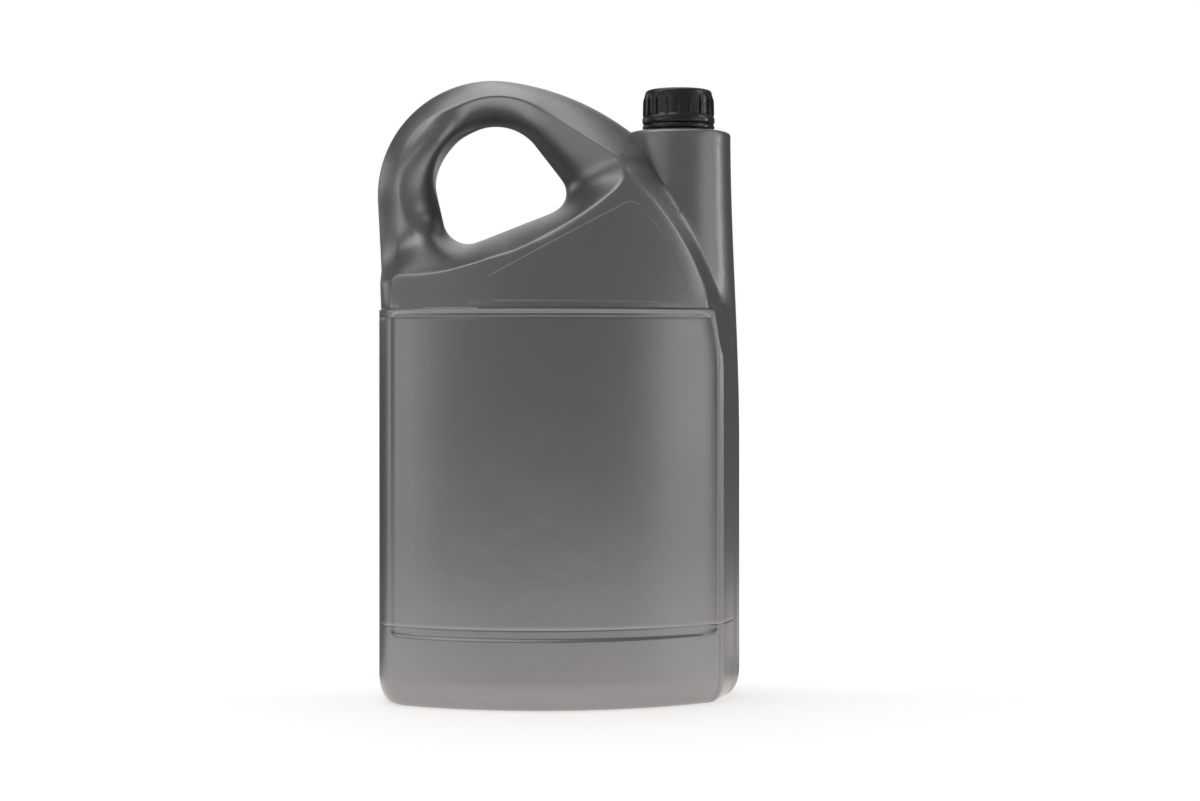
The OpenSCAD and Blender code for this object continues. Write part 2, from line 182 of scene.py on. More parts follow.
RUN_N = 80  # points in the first and last run of a section
ROLL_WALL_N = 20  # of them on the straight wall of the grip's inner face
PANEL_N = 40
FINE_STEP = 0.2  # spacing at which a section is rounded
MIRROR_N = 40  # points past each end while it is rounded
FLANK_EVEN = 0.7  # how evenly the flank's rows are spaced
EASE_ROUNDS = 60
NECK_SIDES = 96
CAP_SIDES = 144
FAR = 1000.0


def unit(degrees):
    """Unit vector that points so many degrees up from +X."""
    a = np.radians(degrees)
    return np.array((np.cos(a), np.sin(a)))


def lerp(a, b, u):
    return a + (b - a) * u


def clamp(u):
    return np.clip(u, 0, 1)


def smooth(u):
    """Eases from nothing to one."""
    v = clamp(u)
    return v * v * (3 - 2 * v)


def between(value, start, end):
    """Eases from nothing at the start to one at the end."""
    return smooth((value - start) / (end - start))


def quarter(u, n):
    """Quarter of a superellipse: how far in from the edge and how far out of the parting plane."""
    a = np.pi / 2 * np.asarray(u, float)
    return 1 - np.abs(np.cos(a)) ** (2 / n), np.abs(np.sin(a)) ** (2 / n)


# Places seen from the front, as x and z

arch_c = np.array((-jug_w / 2 + arch_r, jug_h - arch_r))
sweep_c = arch_c - (sweep_r - arch_r) * unit(sweep_dir)
crest_c = np.array((crest_x - crest_r, crest_z))
hub = arch_c + (2, 2)  # in the hand hole, where the sections of the upper shape start
tip_c = crest_c + (crest_r - tip_r + tip_over) * unit(tip_dir)
tip = tip_c + (tip_r, 0)
tip_a = math.degrees(math.atan2(tip[1] - hub[1], tip[0] - hub[0]))


def belly_t(x):
    """Half depth of the jug over its width."""
    return jug_d / 2 - belly_r + np.sqrt(belly_r ** 2 - (x - belly_x) ** 2)


def panel_t(x, z):
    """Half depth of the leaning panel, which falls back inside the body below the ledge."""
    lean = (z - ledge_z) * math.tan(math.radians(panel_lean))
    return belly_t(x) - panel_sunk - np.where(z > ledge_z, lean, (ledge_z - z) * panel_dive)


def crest_at(z):
    """Where the crest on the neck side runs."""
    return crest_c[0] + np.sqrt(crest_r ** 2 - max(0, z - crest_z) ** 2)


def column_at(z):
    """Radius of the neck column, which tapers from the nose up to the shoulder."""
    return lerp(nose_r, column_r, between(z, taper_z, shoulder_z))


# Handle, recess and upper panel

def ray_circle(c, r, a):
    """Distance from the hub to the far side of a circle, along a direction."""
    d = c - hub
    p = d @ unit(a)
    return p + math.sqrt(r * r - d @ d + p * p)


def ray_line(facing, reach, a):
    """Distance to the line so far out along its facing, or FAR where the ray doesn't meet it."""
    k = unit(facing) @ unit(a)
    return (reach - unit(facing) @ hub) / k if k > 0.02 else FAR


def ray_hull(circles, a):
    """Distance to the outline that is stretched round some circles."""
    turn = np.arange(-84, 84.1, 1.0)
    reach = np.max([(c - hub) @ unit(a + turn) + r for c, r in circles], axis=0)
    return float(np.min(reach / np.cos(np.radians(turn))))


# Circles that each outline is stretched round: place from the arch's centre, and radius
hole_set = ((-4, 7.5, hole_r), (1.5, 10, hole_r), (27, 1.5, hole_neck_r), (-12.5, -11.5, hole_low_r))
recess_set = ((-8, 6, recess_r), (3, 10.5, recess_r), (-11.5, -2.8, recess_low_r), (32, 4, recess_neck_r))


def circles_of(places, w):
    """Those circles, each grown by w."""
    return [(arch_c + (x, z), r + w) for x, z, r in places]


def sill_z(x):
    """Height of the sill under the recess, where the upper panel ends."""
    return sill_low + sill_rise * np.maximum(0, x - sill_x) ** 2


def ray_sill(a, w):
    """Distance from the hub to the sill, for the directions that reach it."""
    if 40 < a < 200:
        return FAR
    c, k = math.cos(math.radians(a)), math.sin(math.radians(a))
    run = hub[0] - sill_x
    b = 2 * sill_rise * run * c - k
    drop = hub[1] - sill_low - sill_rise * run * run + w
    return 2 * drop / (b + math.sqrt(b * b + 4 * sill_rise * c * c * drop))


def turned(a):
    """A direction counted from -90 instead of from nothing."""
    return a - 360 if a > 270 else a


def edge_r(a, w):
    """Distance to the outer edge, which swells a little where it runs into the nose."""
    bulge = nose_bulge * (1 - min(1, abs(turned(a)) / nose_bulge_a) ** 2) ** 2
    reach = [ray_circle(sweep_c, sweep_r - w, a) + bulge,
             ray_line(side_dir, unit(side_dir) @ arch_c + arch_r - w, a),
             ray_line(270, -upper_z - w, a)]
    if sweep_dir < a < side_dir:
        reach.append(ray_circle(arch_c, arch_r - w, a))
    return min(reach)


def crest_ring_r(a, w):
    """Where the outer band ends: at the crest on the neck side, by the upright corner on the handle side."""
    if tip_a < a < upright_a:
        return 0
    side = ray_line(180, -side_crest_x - w, a) * between(a, upright_a, 180)
    return min(ray_circle(crest_c, crest_r - w, a), ray_line(270, -upper_z - crest_rise - w, a), side)


def round_fall(u, n):
    """Falls from one to nothing over u, as a superellipse does."""
    return (1 - clamp(u) ** n) ** (1 / n)


def edge_fall(u, n):
    """Falls from one to nothing over u: a facet that rounds off towards its outer edge."""
    return (1 - clamp(u)) ** (1 / n)


def block_t(x, z, w):
    """Half depth of the shoulder under the handle, and how much of it is left by its side and up the ramp."""
    line = sill_z(x) + sill_lift * between(x, -64, -26) - sill_dip * between(x, -80, -86) - w
    side = -jug_w / 2 + (arch_c[1] - z) * math.tan(math.radians(side_dir - 180)) + w
    ramp = clamp((z - line) / foot_h)
    u = clamp((x - side) / (side_w + side_more * between(ramp, 0, 0.55)))
    rise = lerp(round_fall(1 - u, block_n), 1 - (1 - u) ** ramp_side_n, between(ramp, 0, 0.4))
    low_end = round_fall(1 - (z - upper_z - w) / crest_rise, low_end_n)
    full = panel_t(x, np.minimum(z, line)) * low_end
    return full, rise * (1 - ramp) ** foot_n


def full_roll(width, depth):
    """The grip's inner face: it rises past the crease line, rolls over and goes straight in to the hole."""
    first_facing, whole_turn, lateness, most = -38, 128, 1.6, 0.97
    s = np.linspace(0, 1, RUN_N - ROLL_WALL_N)
    facing = np.radians(first_facing + whole_turn * s ** lateness)
    step = np.diff(s, prepend=0)
    across, down = np.cumsum(np.cos(facing) * step), np.cumsum(np.sin(facing) * step)
    down *= min(width / across[-1], most * depth / down[-1])
    straight = np.linspace(1, 0, ROLL_WALL_N + 1)[1:]
    return (np.concatenate((1 - across / across[-1], 0 * straight)),
            np.concatenate((depth - down, (depth - down[-1]) * straight)))


def station(a, w):
    """Front of one section through the handle, as distances from the hub and half depths, in four runs."""
    hole = ray_hull(circles_of(hole_set, w), a)
    recess = ray_hull(circles_of(recess_set, w) + [(tip_c, tip_r + w)], a)
    recess = max(hole + flank_least, min(recess, ray_sill(a, w)))
    crest = max(recess + panel_least, crest_ring_r(a, w))
    edge = max(crest + band_least, edge_r(a, w))
    sill = recess if a > 280 else ray_sill(a, w)
    sill = min(max(sill, recess + cove_least), crest - cove_least)
    band_n = lerp(1.45, 1.55, between(turned(a), 90, 150))
    flank_turn = float(np.interp(a, (0, 60, 90, 120, 145, 185, 215, 245, 270, 320, 360),
                                 (32, 32, 44, 62, 78, 66, 42, 38, 36, 34, 32)))
    grip_roll = between(a, 104, 144) * between(a, 204, 146)
    ray = unit(a)
    grip = grip_t
    if a <= grip_a:
        grip = lerp(grip_t, float(panel_t(*tip)), (1 - clamp((a - tip_a) / (grip_a - tip_a))) ** 2)

    def depth(r):
        x, z = hub[0] + r * ray[0], hub[1] + r * ray[1]
        if a > nose_a:
            crest_t = panel_t(*(hub + crest * ray))
            fall = edge_fall((r - crest) / (edge - crest), band_n)
            return np.where(r < crest, panel_t(x, z), crest_t * fall)
        band = grip * edge_fall((r - recess) / (edge - recess), band_n)
        if a <= 180:
            return band
        block, left = block_t(x, z, w)
        return band + np.maximum(0, block - band) * left

    u = np.linspace(0, 1, RUN_N)
    band = np.stack((lerp(edge, crest, 1 - np.cos(np.pi / 2 * u)), 0 * u), 1)
    panel, cove = [np.stack((r, 0 * r), 1) for r in (np.linspace(crest, sill, PANEL_N),
                                                     np.linspace(sill, recess, PANEL_N))]
    for run in (band, panel, cove):
        run[:, 1] = depth(run[:, 0]) - wall_depth * w
    band[0, 1] = 0
    turn = np.radians(flank_turn) * u[::-1]
    v = (1 - np.cos(turn)) / (1 - math.cos(turn[0]))
    rolled = np.sin(turn) / math.sin(turn[0])
    full_v, full_t = full_roll(recess - hole, cove[-1, 1])
    flank = np.stack((lerp(hole, recess, lerp(v, full_v, grip_roll)),
                      lerp(cove[-1, 1] * rolled, full_t, grip_roll)), 1)
    if not w:
        line = float(np.interp(a, (112, 136, 222, 246), (0, 1, 1, 0)))
        for run in (band, panel, cove, flank):
            run[:, 1] -= groove_deep * line * np.exp(-((run[:, 0] - recess) / groove_w) ** 2)
    return band, panel, cove, flank


def run_length(points):
    """Distance along a line of points, at each of them."""
    return np.concatenate(([0], np.cumsum(np.hypot(*np.diff(points, axis=0).T))))


def gauss(values, sigma, wrap):
    """Blur along the first axis by sigma samples."""
    if sigma < 0.05:
        return values
    reach = int(4 * sigma) + 1
    k = np.exp(-0.5 * (np.arange(-reach, reach + 1) / sigma) ** 2)
    k /= k.sum()
    beside = [(reach, reach)] + [(0, 0)] * (values.ndim - 1)
    pad = np.pad(values, beside, mode="wrap" if wrap else "edge")
    return np.apply_along_axis(lambda column: np.convolve(column, k, "valid"), 0, pad)


def station_rows(a, w, counts, round_mm):
    """The section's runs with their corners rounded, sampled more closely at the ends of the runs."""
    runs = station(a, w)
    lengths = [run_length(run)[-1] for run in runs]
    line = np.concatenate([runs[0]] + [run[1:] for run in runs[1:]])
    s = run_length(line)
    even = np.arange(0, s[-1] + FINE_STEP / 2, FINE_STEP)
    fine = np.stack([np.interp(even, s, line[:, k]) for k in (0, 1)], 1)
    head = fine[1:MIRROR_N + 1][::-1] * (1, -1)
    tail = fine[-MIRROR_N - 1:-1][::-1] * (1, -1)
    soft = gauss(np.concatenate((head, fine, tail)), round_mm / FINE_STEP, False)
    soft = soft[MIRROR_N:MIRROR_N + len(fine)]
    soft[0, 1] = soft[-1, 1] = 0
    stops = np.cumsum([0] + lengths)
    places = []
    for k, n in enumerate(counts):
        u = np.arange(n) / n
        share = lerp(0.5 - 0.5 * np.cos(np.pi * u), u, FLANK_EVEN if k == len(counts) - 1 else 0)
        places.append(lerp(stops[k], stops[k + 1], share))
    places = np.concatenate(places + [[stops[-1]]])
    return np.stack([np.interp(places, even, soft[:, k]) for k in (0, 1)], 1)


def bearing(x, z):
    """Direction from the hub to a place below it."""
    return math.degrees(math.atan2(z - hub[1], x - hub[0])) + 360


def station_angles(step, w):
    """Directions of the sections, with one through each corner of the upper shape."""
    crest_end, edge_end = upper_z + crest_rise + w, upper_z + w
    side_edge = arch_c[0] - arch_r - (arch_c[1] - edge_end) * math.tan(math.radians(180 - side_dir))
    nose_edge = sweep_c[0] + math.sqrt(sweep_r ** 2 - max(0, edge_end - sweep_c[1]) ** 2)
    stops = [tip_a, bearing(side_edge + w, edge_end), bearing(side_crest_x + w, crest_end),
             bearing(crest_at(crest_end) - w, crest_end), bearing(nose_edge - w, edge_end), tip_a + 360]
    angles = []
    for a, b in zip(stops, stops[1:]):
        n = max(1, round((b - a) / step))
        angles += [lerp(a, b, i / n) for i in range(n)]
    return angles


def eased(fronts, facing, inner):
    """Even out the foot of the grip and, by the tip, the recess's inner face, where several forms meet."""
    x, z = fronts[..., 0], fronts[..., 2]
    foot = between(x, -50, -62) * between(z, 218.5, 224.5) * between(z, 264, 246)
    tip_side = between(facing, -50, -20) * between(facing, 70, 40)
    row = np.arange(fronts.shape[1]) - (fronts.shape[1] - inner)
    give = 0.5 * np.maximum(foot, tip_side[:, None] * between(row, 2, 10))
    give[:, 0] = give[:, -1] = 0
    for _ in range(EASE_ROUNDS):
        near = sum(np.roll(fronts, way, axis) for axis in (0, 1) for way in (1, -1)) / 4
        fronts = fronts + give[..., None] * (near - fronts)
    return fronts


def upper_loops(w, step, counts, soften):
    """Sections round the handle, recess and upper panel, each closed by its mirror image at the back."""
    grip_round, nose_round, along = 0.7, 1.6, 1.2
    angles = station_angles(step, w)
    rounds = [soften * lerp(grip_round, nose_round, between(a, nose_a, nose_a + 20)) for a in angles]
    rows = np.array([station_rows(a, w, counts, round_mm) for a, round_mm in zip(angles, rounds)])
    if soften:
        rows = gauss(rows, along, True)
        rows[:, 0, 1] = rows[:, -1, 1] = 0
    rays = np.array([unit(a) for a in angles])
    r, t = rows[..., 0], rows[..., 1]
    fronts = np.stack((hub[0] + r * rays[:, :1], -t, hub[1] + r * rays[:, 1:]), 2)
    if soften:
        fronts = eased(fronts, np.array([turned(a % 360) for a in angles]), counts[3])
    return [mirrored_loop(front) for front in fronts]


def mirrored_loop(front):
    """A line of points on the front, closed by its mirror image at the back."""
    return np.concatenate((front, (front * (1, -1, 1))[-2:0:-1]))


# Body below the ledge

def corner(a, p, b, r, n):
    """Rounded corner p between a and b, which starts r along each side."""
    u = p + r * (a - p) / np.linalg.norm(a - p)
    v = p + r * (b - p) / np.linalg.norm(b - p)
    s = np.linspace(0, 1, n + 1)[:, None]
    return lerp(lerp(u, p, s), lerp(p, v, s), s)


def label_sunk(x, z):
    """How far the label field lies below the skin round it: its border is a chamfer with round corners."""
    right, low, high = crest_at(z) - 0.6, step_z - 1.4, ledge_z - 0.1
    dx = np.minimum(x - label_left, right - x)
    dz = np.minimum((z - low) * 1.6, (high - z) * 1.7)
    inside = label_round - np.hypot(np.maximum(label_round - dx, 0), np.maximum(label_round - dz, 0))
    return label_in * between(inside, 0, label_chamfer)


def body_plan(z, w, fine, label):
    """One ring of the lower body, w inside its skin: flank, crest, front, upright corner and handle side."""
    side = -jug_w / 2 + side_in + w
    crest, upright = crest_at(z) - w, side + side_crown
    nose = neck_x + column_at(z) - nose_cover - w

    def front_at(x):
        x = np.asarray(x, float)
        return np.stack((x, belly_t(x) - w), -1)

    def crown(s):
        s = np.asarray(s, float)
        return np.stack((side + side_crown * s * s, front_at(upright)[1] * s), -1)

    n_flank, n_edge, n_front, n_corner = (20, 8, 70, 18) if fine else (4, 3, 8, 4)
    q = quarter(np.arange(n_flank) / n_flank, flank_n)
    flank = np.stack((lerp(nose, crest, q[0]), front_at(crest)[1] * q[1]), 1)
    left, right = lerp(upright, crest, 0.1), lerp(upright, crest, 0.95)
    edge = corner(flank[-1], front_at(crest), front_at(right), crest_edge_r, n_edge)
    round_c = corner(front_at(left), front_at(upright), crown(0.7), corner_r, n_corner)
    u = np.linspace(0, 1, n_front + 1)
    crowned = crown((0.5, 0.25, 0))
    if fine:
        u = lerp(u, 0.5 - 0.5 * np.cos(np.pi * u), 0.55)
        crowned = crown(np.linspace(0.82, 0, 30))
        crowned = crowned[crowned[:, 1] < round_c[-1, 1] - 0.5]
    half = np.concatenate((flank, edge, front_at(lerp(right, left, u)), round_c, crowned))
    if label:
        half[:, 1] -= label_sunk(half[:, 0], z) * (half[:, 1] > label_t)
    return mirrored_loop(np.stack((half[:, 0], -half[:, 1], np.full(len(half), z)), 1))


def heel_inset(z):
    """How far the rounded heel lies inside the body's side."""
    return heel_in * (1 - np.sqrt(1 - (1 - clamp(z / heel_h)) ** 2))


def lower_skin():
    """Rings of the lower body's skin, with the mould lines and a last ring tucked in behind the panel."""
    lift = 1 - np.cos(np.linspace(0, np.pi / 2, 14))
    rings = [body_plan(z, heel_inset(z), True, False) for z in heel_h * lift]
    runs = ((heel_h + 1, step_z - 2, 8), (step_z - 1.6, step_z + 3.4, 22), (step_z + 6, crest_z, 36),
            (crest_z + 2.5, ledge_z - 5.5, 13), (ledge_z - 2.9, ledge_z, 16))
    insets = [(z, 0) for low, high, n in runs for z in np.linspace(low, high, n)]
    mould_line = ((-0.45, 0), (-0.2, 0.1), (0, 0.16), (0.2, 0.1), (0.45, 0))
    insets += [(z + dz, deep) for z in seam_z for dz, deep in mould_line]
    rings += [body_plan(z, deep, True, True) for z, deep in sorted(insets)]
    rings.append(body_plan(ledge_z + 1.2, 1.8, True, False))
    return rings


def lower_inside():
    """Rings of the space inside the lower body."""
    rings = []
    for i in range(5):
        z = max(wall, heel_h * i / 5)
        rings.append(body_plan(z + 0.01 * i, wall + heel_inset(z), False, False))
    low_half, high_half = lerp(step_z, crest_z, 0.5), lerp(crest_z, ledge_z, 0.5)
    for z in (heel_h + 1, step_z, low_half, crest_z, high_half, ledge_z - 4):
        rings.append(body_plan(z, wall + (label_in if z > heel_h + 2 else 0), False, False))
    return rings


def round_ring(r, z, sides):
    """A level ring of points about the neck's axis."""
    turn = -2 * np.pi * np.arange(sides) / sides
    return np.stack((neck_x + r * np.cos(turn), r * np.sin(turn), np.full(sides, z)), 1)


def column_loops(w, sides, n_heel, n_wall, n_round):
    """Rings of the neck column, w inside its skin, from the floor up to the shoulder."""
    rings = []
    for i in range(n_heel):
        z = heel_h * i / n_heel
        low = max(w, z)
        rings.append((low + 0.01 * i, column_at(z) - w - heel_inset(low)))
    top = shoulder_z - w - shoulder_drop
    rings += [(z, column_at(z) - w) for z in np.linspace(heel_h, top, n_wall)]
    for a in np.linspace(0, np.pi / 2, n_round)[1:]:
        rings.append((shoulder_z - w - shoulder_drop * (1 - math.sin(a)),
                      column_at(shoulder_z) - w - (shoulder_r - w) * (1 - math.cos(a))))
    return [round_ring(r, z, sides) for z, r in rings]


def base_hollow_loops(w, fine):
    """Rings of the hollow in the base, inside the rim that the jug stands on."""
    inset = heel_in + rim_w - w
    if not fine:
        return [body_plan(-1, inset, False, False), body_plan(w, inset, False, False),
                body_plan(push_up + w, inset + 2 * push_up, False, False)]
    rise = [(-1, 0), (0, 0)] + [(push_up * math.sin(a), 2 * push_up * (1 - math.cos(a)))
                                for a in np.linspace(0.15, np.pi / 2, 9)]
    return [body_plan(z, inset + more, False, False) for z, more in rise]


# Mesh tools

def link(name, mesh):
    obj = bpy.data.objects.new(name, mesh)
    bpy.context.scene.collection.objects.link(obj)
    return obj


def skinned(name, loops, ring):
    """Closed loops of points in millimetres, skinned into a closed solid: a ring, or a bar with flat ends."""
    n, m = len(loops), len(loops[0])
    verts = np.concatenate(loops) * MM
    i, j = np.meshgrid(np.arange(n if ring else n - 1), np.arange(m), indexing="ij")
    next_i, next_j = (i + 1) % n, (j + 1) % m
    faces = np.stack((i * m + j, i * m + next_j, next_i * m + next_j, next_i * m + j), -1)
    faces = faces.reshape(-1, 4).tolist()
    if not ring:
        faces += [list(range(m)), list(range((n - 1) * m, n * m))]
    mesh = bpy.data.meshes.new(name)
    mesh.from_pydata(verts.tolist(), [], faces)
    bm = bmesh.new()
    bm.from_mesh(mesh)
    bmesh.ops.recalc_face_normals(bm, faces=bm.faces)
    bm.to_mesh(mesh)
    bm.free()
    return link(name, mesh)


def revolved(name, outline, sides):
    """A closed outline of [radius, height] points in millimetres, turned about the neck's axis."""
    r, z = np.asarray(outline, float).T
    turn = 2 * np.pi * np.arange(sides) / sides
    loops = [np.stack((neck_x + r * math.cos(t), r * math.sin(t), z), 1) for t in turn]
    obj = skinned(name, loops, True)
    bm = bmesh.new()
    bm.from_mesh(obj.data)
    bmesh.ops.remove_doubles(bm, verts=bm.verts, dist=1e-6)
    bmesh.ops.recalc_face_normals(bm, faces=bm.faces)
    bm.to_mesh(obj.data)
    bm.free()
    return obj


def plain_mesh(obj):
    """Replace an object's modifiers by the mesh that they make."""
    bpy.context.view_layer.update()
    evaluated = obj.evaluated_get(bpy.context.evaluated_depsgraph_get())
    mesh = bpy.data.meshes.new_from_object(evaluated)
    obj.modifiers.clear()
    obj.data = mesh
    return obj


def combine(target, how, tool):
    """Join a tool to the target or cut it out, and remove the tool."""
    change = target.modifiers.new(how, "BOOLEAN")
    change.operation = how
    change.solver = "MANIFOLD"
    change.object = tool
    plain_mesh(target)
    bpy.data.objects.remove(tool)
    return target


def rounded_outline(points, n=4):
    """Corners given as (radius, height) or (radius, height, round): a round one becomes a small curve."""
    p = np.array([q[:2] for q in points], float)
    out = []
    for k, q in enumerate(points):
        if len(q) > 2:
            out.append(corner(p[k - 1], p[k], p[(k + 1) % len(p)], q[2], n))
        else:
            out.append(p[k][None])
    return np.concatenate(out)


def shade(obj, degrees):
    """Shade smooth, except at edges sharper than so many degrees."""
    for poly in obj.data.polygons:
        poly.use_smooth = True
    obj.data.set_sharp_from_angle(angle=math.radians(degrees))


# The jug's skin

def soften_crease(obj, low, high, rings, rounds):
    """Round off sharp lines between two corners, by evening out the points near them."""
    sharp, clear_of_parting = math.radians(14), 4
    bm = bmesh.new()
    bm.from_mesh(obj.data)
    near = set()
    for edge in bm.edges:
        if len(edge.link_faces) != 2 or edge.calc_face_angle(0) < sharp:
            continue
        mid = (edge.verts[0].co + edge.verts[1].co) / 2 / MM
        inside = low[0] < mid.x < high[0] and low[1] < mid.z < high[1]
        if inside and abs(mid.y) > clear_of_parting:
            near.update(edge.verts)
    for _ in range(rings):
        near |= {e.other_vert(v) for v in list(near) for e in v.link_edges}
    for _ in range(rounds):
        moved = {}
        for v in near:
            around = [e.other_vert(v).co for e in v.link_edges]
            moved[v] = sum(around, v.co * 0) / len(around)
        for v, place in moved.items():
            v.co = v.co.lerp(place, 0.5)
    bm.to_mesh(obj.data)
    bm.free()


def neck_outline():
    """Section of the neck, with its bead."""
    foot = shoulder_z - 0.8
    return rounded_outline([
        (bore_r, foot), (neck_r + 0.9, foot), (neck_r, shoulder_z + 0.9, 0.5), (neck_r, bead_z, 0.15),
        (neck_r + bead_out, bead_z, 0.2), (neck_r + bead_out, bead_z + bead_h / 2, 0.3),
        (neck_r, bead_z + bead_h, 0.3), (neck_r, neck_top, 0.6), (bore_r, neck_top, 0.5)])


def jug_skin():
    """The blown skin: lower body, upper shape and column in one, hollow, with the neck and its thread."""
    skin = skinned("jug_skin", lower_skin(), False)
    combine(skin, "UNION", skinned("upper", upper_loops(0, 1.0, (16, 8, 10, 30), 1), True))
    combine(skin, "UNION", skinned("column", column_loops(0, 144, 14, 110, 13), False))
    combine(skin, "DIFFERENCE", skinned("hollow", base_hollow_loops(0, True), False))
    # Where the band runs into the column, and where the ledge ends on the neck side
    soften_crease(skin, (30, 204), (jug_w / 2, 260), 3, 10)
    soften_crease(skin, (80, 188), (jug_w / 2, 200), 5, 24)
    inside = skinned("inside", lower_inside(), False)
    combine(inside, "UNION", skinned("upper_in", upper_loops(wall, 7.5, (4, 3, 3, 4), 0), True))
    combine(inside, "UNION", skinned("column_in", column_loops(wall, 24, 4, 9, 4), False))
    combine(inside, "DIFFERENCE", skinned("hollow_in", base_hollow_loops(wall, False), False))
    combine(skin, "DIFFERENCE", inside)
    bore = [round_ring(bore_r, z, NECK_SIDES) for z in (shoulder_z - 6, shoulder_z + 3)]
    combine(skin, "DIFFERENCE", skinned("bore", bore, False))
    combine(skin, "UNION", revolved("neck", neck_outline(), NECK_SIDES))
    combine(skin, "UNION", helix("neck_thread", neck_r, neck_thread_r, neck_thread_z))
    shade(skin, 38)
    return skin


# Fine lines and closure

def label_lines():
    """The fine raised outline on the upper panel, front and back: a bead stretched round four circles."""
    circles = ((-28.2, 209.4, 7.1), (59.2, 208.3, 6.0), (51.5, 228.5, 6.6), (37.5, 246.5, 6.0))
    section = ((-0.42, -0.3), (-0.3, 0.04), (-0.12, 0.13), (0.12, 0.13), (0.3, 0.04), (0.42, -0.3))
    count = 220
    turn = np.radians(np.arange(0, 360, 2.0))
    ways = np.stack((np.cos(turn), np.sin(turn)), 1)
    reach = np.array([[np.dot(way, c[:2]) + c[2] for c in circles] for way in ways])
    outermost = [circles[k] for k in reach.argmax(1)]
    path = np.array([np.array(c[:2]) + c[2] * way for c, way in zip(outermost, ways)])
    closed = np.concatenate((path, path[:1]))
    length = run_length(closed)
    along = np.linspace(0, length[-1], count, endpoint=False)
    path = np.stack([np.interp(along, length, closed[:, k]) for k in (0, 1)], 1)
    ahead = np.roll(path, -1, 0) - np.roll(path, 1, 0)
    ahead /= np.linalg.norm(ahead, axis=1)[:, None]
    loops = []
    for (x, z), (ax, az) in zip(path, ahead):
        slope_x = float(panel_t(x + 0.5, z) - panel_t(x - 0.5, z))
        out = np.array((-slope_x, 1, math.tan(math.radians(panel_lean))))
        out /= np.linalg.norm(out)
        side = np.cross((ax, slope_x * ax - out[2] / out[1] * az, az), out)
        side /= np.linalg.norm(side)
        place = np.array((x, float(panel_t(x, z)), z))
        loops.append(np.array([place + across * side + up * out for across, up in section]))
    return joined([skinned("label_line", [loop * (1, face, 1) for loop in loops], True) for face in (-1, 1)])


def joined(pieces):
    """Join some mesh objects into the first."""
    bm = bmesh.new()
    for piece in pieces:
        bm.from_mesh(piece.data)
    bm.to_mesh(pieces[0].data)
    bm.free()
    for piece in pieces[1:]:
        bpy.data.objects.remove(piece)
    return pieces[0]


def helix(name, root_r, crest_r, start_z):
    """A thread's ridge, fading out at both ends."""
    whole, step, fade_a, sunk = 360 * thread_turns, 6.0, 40, 0.4
    root_half, crest_half = 0.95, 0.35
    root = root_r - math.copysign(sunk, crest_r - root_r)
    loops = []
    for a in np.arange(0, whole + 1, step):
        r = lerp(root_r, crest_r, between(a, 0, fade_a) * between(a, whole, whole - fade_a))
        z = start_z + thread_pitch * a / 360
        ray = unit(a)
        section = ((root, -root_half), (r, -crest_half), (r, crest_half), (root, root_half))
        loops.append(np.array([(neck_x + q * ray[0], q * ray[1], z + dz) for q, dz in section]))
    return skinned(name, loops, False)


def ring_of(name):
    """Node tree: copies of one small piece set round an axis, added to the piece that carries them."""
    tree = bpy.data.node_groups.new(name, "GeometryNodeTree")
    for label, kind in (("Geometry", "Geometry"), ("Copied Piece", "Object"), ("Count", "Int"),
                        ("Axis Place", "Vector"), ("First Angle", "Float"), ("Finish", "Material")):
        tree.interface.new_socket(label, in_out="INPUT", socket_type="NodeSocket" + kind)
    tree.interface.new_socket("Geometry", in_out="OUTPUT", socket_type="NodeSocketGeometry")
    add = tree.nodes.new
    given, made = add("NodeGroupInput"), add("NodeGroupOutput")
    piece = add("GeometryNodeObjectInfo")
    points = add("GeometryNodePoints")
    index = add("GeometryNodeInputIndex")
    share, angle, turn = add("ShaderNodeMath"), add("ShaderNodeMath"), add("ShaderNodeCombineXYZ")
    share.operation = "DIVIDE"
    angle.operation = "MULTIPLY_ADD"
    angle.inputs[1].default_value = 2 * math.pi
    copies, real = add("GeometryNodeInstanceOnPoints"), add("GeometryNodeRealizeInstances")
    both, finish = add("GeometryNodeJoinGeometry"), add("GeometryNodeSetMaterial")
    wires = ((given, "Copied Piece", piece, "Object"), (given, "Count", points, "Count"),
             (given, "Axis Place", points, "Position"), (index, 0, share, 0), (given, "Count", share, 1),
             (share, 0, angle, 0), (given, "First Angle", angle, 2), (angle, 0, turn, "Z"),
             (points, 0, copies, "Points"), (piece, "Geometry", copies, "Instance"),
             (turn, 0, copies, "Rotation"), (copies, 0, both, 0), (given, "Geometry", both, 0),
             (both, 0, real, 0), (real, 0, finish, "Geometry"), (given, "Finish", finish, "Material"),
             (finish, 0, made, 0))
    for giver, out, taker, into in wires:
        tree.links.new(giver.outputs[out], taker.inputs[into])
    return tree


def with_ring(carrier, tree, small, count, first, finish):
    """Set copies of a small piece round the carrier, and make the whole a plain mesh."""
    change = carrier.modifiers.new("ring", "NODES")
    change.node_group = tree
    values = {"Copied Piece": small, "Count": count, "Axis Place": (neck_x * MM, 0, 0),
              "First Angle": first, "Finish": finish}
    for socket in tree.interface.items_tree:
        if socket.in_out == "INPUT" and socket.name in values:
            change[socket.identifier] = values[socket.name]
    plain_mesh(carrier)
    bpy.data.objects.remove(small)
    return carrier


